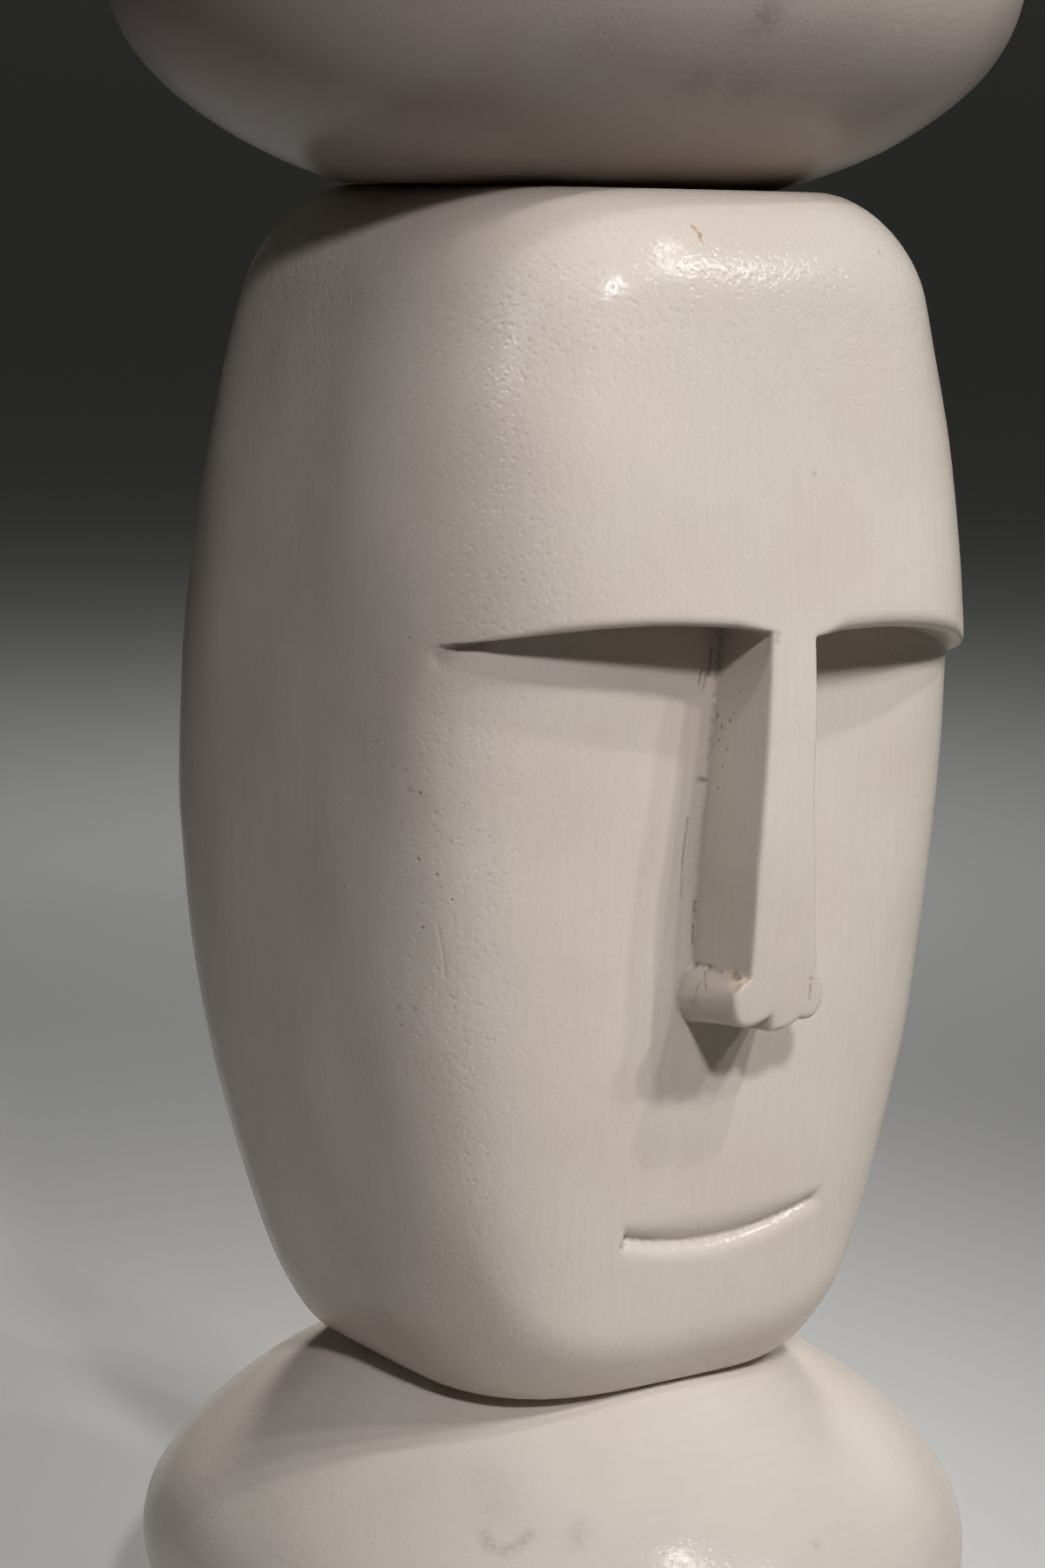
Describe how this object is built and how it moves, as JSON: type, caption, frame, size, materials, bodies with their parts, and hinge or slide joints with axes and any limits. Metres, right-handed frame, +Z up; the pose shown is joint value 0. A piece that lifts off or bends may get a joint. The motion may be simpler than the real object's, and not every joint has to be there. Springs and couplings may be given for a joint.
{
  "type": "face sculpture",
  "caption": "Stacked painted-wood sculpture: a low cushion form carries a tall squared head with a schematic face, and a wider cushion form lies on the head.",
  "frame": {"origin": "floor height, below the middle of the box round the whole stack", "axes": "+Z up through the stack, -Y the way the face looks, +X to the right of someone who looks at the face"},
  "size_m": [0.2396, 0.2458, 0.5219],
  "materials": {
    "lower_enamel": "cream enamel brushed over carved wood, satin, with grey smudges",
    "head_enamel": "cream enamel brushed over carved wood, satin, pitted and chipped",
    "upper_enamel": "cream enamel brushed over carved wood, satin, with a faint pinkish grain"
  },
  "bodies": {
    "root": {"lower_form": "lower_enamel", "head": "head_enamel", "upper_form": "upper_enamel"}
  },
  "joints": []
}
